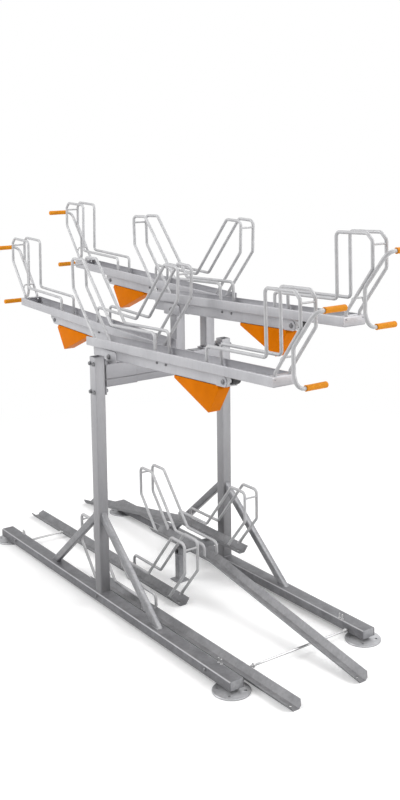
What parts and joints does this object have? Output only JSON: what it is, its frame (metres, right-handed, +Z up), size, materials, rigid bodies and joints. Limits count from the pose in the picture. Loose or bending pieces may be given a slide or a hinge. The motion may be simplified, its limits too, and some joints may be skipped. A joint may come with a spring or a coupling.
{
  "type": "two tier bike rack",
  "caption": "Double-sided two tier bike rack with floor gutters below and trays above that run out on rails and tip down to load.",
  "frame": {"origin": "centre of the footprint on the floor, midway between the two posts", "axes": "+X along the bikes, towards the right-hand loading side; +Y along the row, towards the far frame; +Z up"},
  "size_m": [3.242, 1, 2.0696],
  "materials": {
    "zinc_grey": "galvanised steel, dull grey and mottled",
    "light_steel": "galvanised steel, light and even",
    "bright_tube": "galvanised tube, bright",
    "orange_sheet": "orange powder coat, satin",
    "orange_grip": "orange soft grip, matt",
    "black_plastic": "black plastic, matt"
  },
  "bodies": {
    "frame": {"foot_beam_near": "zinc_grey", "post_near": "light_steel", "brace_near_right": "zinc_grey", "floor_foot_near_right": "zinc_grey", "brace_near_left": "zinc_grey", "floor_foot_near_left": "zinc_grey", "foot_beam_far": "zinc_grey", "post_far": "light_steel", "brace_far_right": "zinc_grey", "floor_foot_far_right": "zinc_grey", "brace_far_left": "zinc_grey", "floor_foot_far_left": "zinc_grey", "cross_beam": "light_steel", "support_arm": "zinc_grey", "tie_rod_right": "zinc_grey", "tie_rod_left": "zinc_grey", "lower_gutter_right_low": "zinc_grey", "lower_wheel_guide_right_low": "bright_tube", "rail_right_low": "light_steel", "cover_right_low": "orange_sheet", "lower_gutter_left_low": "zinc_grey", "lower_wheel_guide_left_low": "bright_tube", "rail_left_low": "light_steel", "cover_left_low": "orange_sheet", "lower_gutter_right_high": "zinc_grey", "lower_wheel_guide_right_high": "bright_tube", "rail_right_high": "light_steel", "cover_right_high": "orange_sheet", "lower_gutter_left_high": "zinc_grey", "lower_wheel_guide_left_high": "bright_tube", "rail_left_high": "light_steel", "cover_left_high": "orange_sheet"},
    "block_right_low": {"pivot_block_right_low": "light_steel"},
    "wheel_right_low": {"roller_right_low": "black_plastic"},
    "carrier_right_low": {"tray_right_low": "light_steel", "inner_guide_right_low": "bright_tube", "outer_guide_right_low": "bright_tube", "upper_grip_right_low": "orange_grip", "lower_grip_right_low": "orange_grip"},
    "block_left_low": {"pivot_block_left_low": "light_steel"},
    "wheel_left_low": {"roller_left_low": "black_plastic"},
    "carrier_left_low": {"tray_left_low": "light_steel", "inner_guide_left_low": "bright_tube", "outer_guide_left_low": "bright_tube", "upper_grip_left_low": "orange_grip", "lower_grip_left_low": "orange_grip"},
    "block_right_high": {"pivot_block_right_high": "light_steel"},
    "wheel_right_high": {"roller_right_high": "black_plastic"},
    "carrier_right_high": {"tray_right_high": "light_steel", "inner_guide_right_high": "bright_tube", "outer_guide_right_high": "bright_tube", "upper_grip_right_high": "orange_grip", "lower_grip_right_high": "orange_grip"},
    "block_left_high": {"pivot_block_left_high": "light_steel"},
    "wheel_left_high": {"roller_left_high": "black_plastic"},
    "carrier_left_high": {"tray_left_high": "light_steel", "inner_guide_left_high": "bright_tube", "outer_guide_left_high": "bright_tube", "upper_grip_left_high": "orange_grip", "lower_grip_left_high": "orange_grip"}
  },
  "joints": [
    {"name": "tip_right_low", "type": "hinge", "parent": "frame", "child": "block_right_low", "pos_m": [0.98646, -0.3, 1.38743], "axis": [0, 1, 0], "range_deg": [0, 48]},
    {"name": "run_out_right_low", "type": "slide", "parent": "block_right_low", "child": "carrier_right_low", "axis": [0.9994, 0, 0.0349], "range_m": [0, 1]},
    {"name": "roll_right_low", "type": "hinge", "parent": "block_right_low", "child": "wheel_right_low", "pos_m": [1.02799, -0.3, 1.40158], "axis": [0, 1, 0], "range_deg": [0, 2610]},
    {"name": "tip_left_low", "type": "hinge", "parent": "frame", "child": "block_left_low", "pos_m": [-0.98646, -0.1, 1.38743], "axis": [0, -1, 0], "range_deg": [0, 48]},
    {"name": "run_out_left_low", "type": "slide", "parent": "block_left_low", "child": "carrier_left_low", "axis": [-0.9994, 0, 0.0349], "range_m": [0, 1]},
    {"name": "roll_left_low", "type": "hinge", "parent": "block_left_low", "child": "wheel_left_low", "pos_m": [-1.02799, -0.1, 1.40158], "axis": [0, -1, 0], "range_deg": [0, 2610]},
    {"name": "tip_right_high", "type": "hinge", "parent": "frame", "child": "block_right_high", "pos_m": [0.98646, 0.1, 1.59743], "axis": [0, 1, 0], "range_deg": [0, 48]},
    {"name": "run_out_right_high", "type": "slide", "parent": "block_right_high", "child": "carrier_right_high", "axis": [0.9994, 0, 0.0349], "range_m": [0, 1]},
    {"name": "roll_right_high", "type": "hinge", "parent": "block_right_high", "child": "wheel_right_high", "pos_m": [1.02799, 0.1, 1.61158], "axis": [0, 1, 0], "range_deg": [0, 2610]},
    {"name": "tip_left_high", "type": "hinge", "parent": "frame", "child": "block_left_high", "pos_m": [-0.98646, 0.3, 1.59743], "axis": [0, -1, 0], "range_deg": [0, 48]},
    {"name": "run_out_left_high", "type": "slide", "parent": "block_left_high", "child": "carrier_left_high", "axis": [-0.9994, 0, 0.0349], "range_m": [0, 1]},
    {"name": "roll_left_high", "type": "hinge", "parent": "block_left_high", "child": "wheel_left_high", "pos_m": [-1.02799, 0.3, 1.61158], "axis": [0, -1, 0], "range_deg": [0, 2610]}
  ],
  "couplings": [
    {"joint": "roll_right_low", "follows": "run_out_right_low", "rad_per_m": 45.455},
    {"joint": "roll_left_low", "follows": "run_out_left_low", "rad_per_m": 45.455},
    {"joint": "roll_right_high", "follows": "run_out_right_high", "rad_per_m": 45.455},
    {"joint": "roll_left_high", "follows": "run_out_left_high", "rad_per_m": 45.455}
  ]
}
